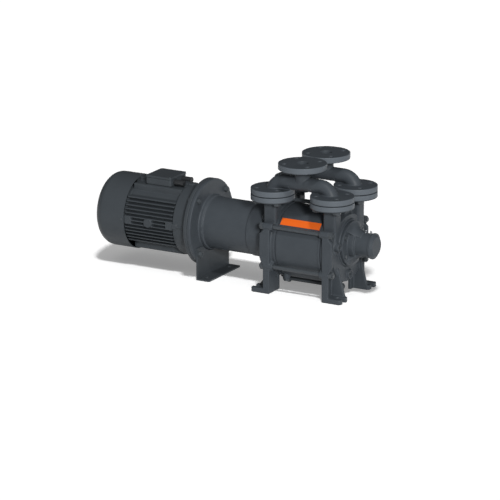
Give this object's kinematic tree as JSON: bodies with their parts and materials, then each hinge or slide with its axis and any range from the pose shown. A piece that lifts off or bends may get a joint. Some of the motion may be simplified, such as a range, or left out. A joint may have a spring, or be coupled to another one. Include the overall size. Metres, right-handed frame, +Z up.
{
  "type": "liquid ring vacuum pump with flange motor",
  "caption": "Liquid ring vacuum pump: eccentric impeller between ported end casings, flanged manifolds on top, driven through a coupling lantern by a finned flange motor.",
  "frame": {"origin": "on the floor, midway between the four slots of the pump's feet", "axes": "+X along the shaft from the motor to the free end, +Y to the far side, +Z up"},
  "size_m": [1.0395, 0.331, 0.461],
  "materials": {
    "cast_paint": "satin dark grey paint on cast iron",
    "motor_paint": "satin dark grey paint on the motor",
    "sheet_paint": "satin dark grey powder coat on sheet steel",
    "fastener_paint": "painted over steel fasteners",
    "zinc_steel": "zinc plated",
    "bearing_steel": "ground",
    "shaft_steel": "turned",
    "bare_cast": "bare casting",
    "bronze": "cast bronze",
    "copper": "varnished copper winding",
    "lamination": "stacked sheet",
    "gasket": "fibre gasket",
    "ceramic": "lapped ceramic seat",
    "spider": "elastomer",
    "plastic": "black moulding",
    "label": "orange label plate"
  },
  "bodies": {
    "pump_frame": {"drive_end_casing": "cast_paint", "free_end_casing": "cast_paint", "centre_body": "cast_paint", "drive_port_plate": "cast_paint", "free_port_plate": "cast_paint", "tie_rods": "fastener_paint", "tie_rod_nuts": "fastener_paint", "suction_manifold": "cast_paint", "discharge_manifold": "cast_paint", "flange_gaskets": "gasket", "flange_screws": "fastener_paint", "label_plate": "label", "free_bearing_housing": "cast_paint", "drive_bearing_housing": "cast_paint", "bracket_screws": "fastener_paint", "free_end_cap": "cast_paint", "drive_end_cover": "cast_paint", "grease_nipples": "zinc_steel", "service_liquid_plug": "fastener_paint", "casing_drain_plugs": "fastener_paint", "body_drain_plug": "fastener_paint", "bearing_outer_rings": "bearing_steel", "seal_seats": "ceramic", "lantern": "cast_paint", "lantern_screws": "fastener_paint", "support_foot": "sheet_paint", "motor_flange_bolts": "fastener_paint", "motor_flange_nuts": "fastener_paint", "motor_housing": "motor_paint", "motor_front_shield": "motor_paint", "motor_rear_shield": "motor_paint", "shield_screws": "fastener_paint", "stator_core": "lamination", "stator_windings": "copper", "fan_cowl": "sheet_paint", "cowl_screws": "zinc_steel", "terminal_box": "motor_paint", "terminal_lid": "motor_paint", "terminal_lid_screws": "zinc_steel", "terminal_block": "plastic", "cable_entry_plugs": "plastic", "motor_bearing_outer_rings": "bearing_steel"},
    "pump_rotor": {"impeller": "bronze", "pump_shaft": "shaft_steel", "impeller_key": "shaft_steel", "bearing_inner_rings": "bearing_steel", "bearing_balls": "bearing_steel", "bearing_locknut": "zinc_steel", "seal_heads": "zinc_steel", "pump_coupling_hub": "bare_cast", "coupling_spider": "spider"},
    "motor_rotor": {"motor_shaft": "shaft_steel", "rotor_core": "lamination", "cooling_fan": "plastic", "motor_bearing_inner_rings": "bearing_steel", "motor_bearing_balls": "bearing_steel", "motor_coupling_hub": "bare_cast", "motor_key": "shaft_steel"}
  },
  "joints": [
    {"name": "motor_spin", "type": "hinge", "parent": "pump_frame", "child": "motor_rotor", "pos_m": [-0.5, 0, 0.182], "axis": [1, 0, 0], "continuous": true},
    {"name": "pump_spin", "type": "hinge", "parent": "pump_frame", "child": "pump_rotor", "pos_m": [0, 0, 0.182], "axis": [1, 0, 0], "continuous": true}
  ],
  "couplings": [
    {"joint": "pump_spin", "follows": "motor_spin", "ratio": 1}
  ]
}
